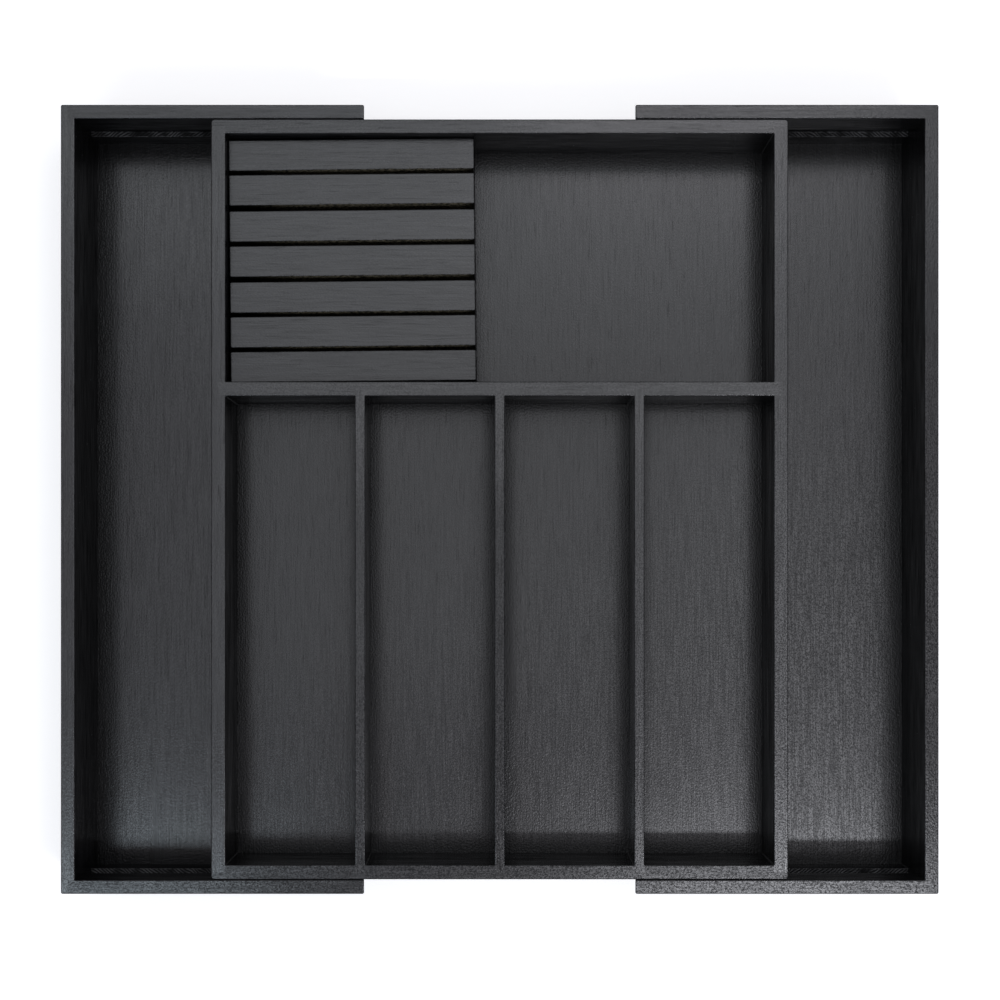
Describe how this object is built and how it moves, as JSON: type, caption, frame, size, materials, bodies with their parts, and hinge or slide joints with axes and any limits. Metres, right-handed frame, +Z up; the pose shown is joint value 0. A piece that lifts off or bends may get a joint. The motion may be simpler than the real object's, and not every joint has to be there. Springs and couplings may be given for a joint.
{
  "type": "expanding cutlery tray",
  "caption": "Expanding wooden drawer tray: a middle box with cutlery bays and a loose slatted knife block, between two side trays that slide out to the left and right.",
  "frame": {"origin": "on the drawer floor under the middle of the tray, with both side trays pulled out to their stops", "axes": "+X to the right across the drawer, +Y to the back of the drawer, +Z up"},
  "size_m": [0.4944, 0.4444, 0.064],
  "materials": {
    "wall_wood": "black stain under a satin varnish, grain along each board",
    "floor_wood": "black stain under a satin varnish, grain from front to back",
    "block_wood": "black stain under a satin varnish, sawn faces in the slots",
    "slide_wood": "black stain, unvarnished"
  },
  "bodies": {
    "middle_tray": {"middle_back_wall": "wall_wood", "middle_front_wall": "wall_wood", "middle_left_wall": "wall_wood", "middle_right_wall": "wall_wood", "middle_floor_panel": "floor_wood", "cross_divider": "wall_wood", "long_divider_left": "wall_wood", "long_divider_centre": "wall_wood", "long_divider_right": "wall_wood", "runner_back_left": "slide_wood", "runner_back_right": "slide_wood", "runner_front_left": "slide_wood", "runner_front_right": "slide_wood"},
    "left_tray": {"left_end_wall": "wall_wood", "left_back_rail": "wall_wood", "left_front_rail": "wall_wood", "left_floor_panel": "floor_wood", "left_back_stop": "slide_wood", "left_front_stop": "slide_wood"},
    "right_tray": {"right_end_wall": "wall_wood", "right_back_rail": "wall_wood", "right_front_rail": "wall_wood", "right_floor_panel": "floor_wood", "right_back_stop": "slide_wood", "right_front_stop": "slide_wood"},
    "knife_block": {"block_base": "block_wood", "block_slat_1": "block_wood", "block_slat_2": "block_wood", "block_slat_3": "block_wood", "block_slat_4": "block_wood", "block_slat_5": "block_wood", "block_slat_6": "block_wood", "block_slat_7": "block_wood"}
  },
  "joints": [
    {"name": "left_tray_slide", "type": "slide", "parent": "middle_tray", "child": "left_tray", "axis": [-1, 0, 0], "range_m": [-0.0759, 0]},
    {"name": "right_tray_slide", "type": "slide", "parent": "middle_tray", "child": "right_tray", "axis": [1, 0, 0], "range_m": [-0.0759, 0]},
    {"name": "knife_block_lift", "type": "slide", "parent": "middle_tray", "child": "knife_block", "axis": [0, 0, 1], "range_m": [0, 0.06]}
  ]
}
